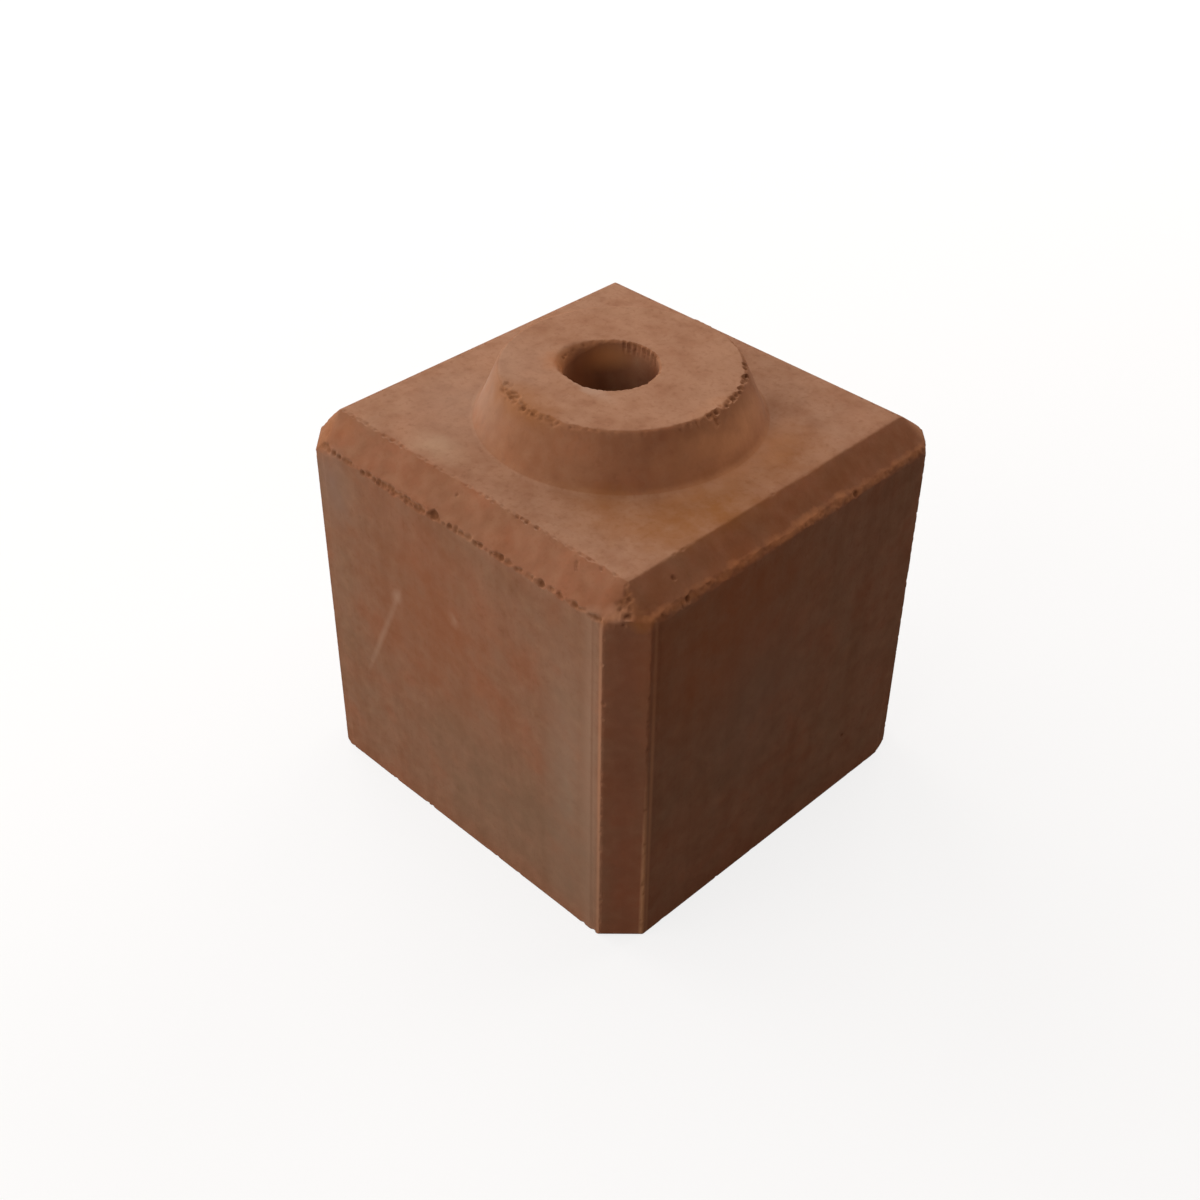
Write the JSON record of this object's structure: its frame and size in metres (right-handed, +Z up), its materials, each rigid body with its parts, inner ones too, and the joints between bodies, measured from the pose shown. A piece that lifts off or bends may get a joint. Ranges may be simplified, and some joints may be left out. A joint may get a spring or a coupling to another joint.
{
  "type": "interlocking concrete block",
  "caption": "Nearly cubic pressed concrete half block with cut corners, a chamfered top, a tapered round boss, a matching socket underneath and a through bore for a rod or grout.",
  "frame": {"origin": "middle of the bottom face's outline, on the surface that the block stands on", "axes": "+Z up through the boss, along the bore; +X along the block's length, +Y along its depth"},
  "size_m": [0.125, 0.1226, 0.1295],
  "materials": {
    "pigmented_concrete": "matt, fine-grained pressed concrete with a red-brown pigment"
  },
  "bodies": {
    "root": {"interlocking_block": "pigmented_concrete"}
  },
  "joints": []
}
